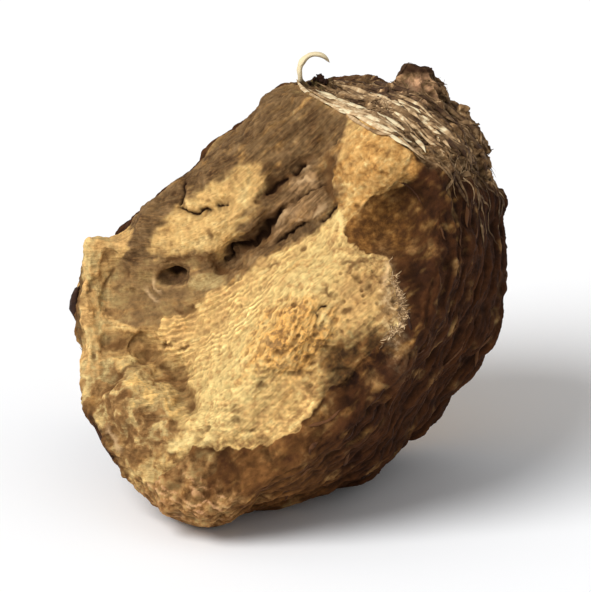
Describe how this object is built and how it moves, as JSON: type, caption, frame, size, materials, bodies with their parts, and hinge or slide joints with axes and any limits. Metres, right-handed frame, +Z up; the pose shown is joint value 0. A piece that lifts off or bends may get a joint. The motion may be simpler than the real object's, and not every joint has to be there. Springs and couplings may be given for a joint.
{
  "type": "dried ferula root chunk",
  "caption": "Thick chunk of dried ferula root for herbal use: oval cut face of pale wood with drying cracks and a knot hole, brown bark around it, a fibrous crown and a flat resting patch.",
  "frame": {"origin": "centre of the bounding box at the level of the flat base", "axes": "+Z up, +X to the right across the cut face, -Y towards the viewer who looks at the cut face"},
  "size_m": [0.054, 0.0512, 0.052],
  "materials": {
    "root_wood": "dry, fibrous and matt: yellow-tan cut wood with brown cracks, weathered grey-brown parts and dark brown wrinkled bark"
  },
  "bodies": {
    "root": {"root_chunk": "root_wood"}
  },
  "joints": []
}
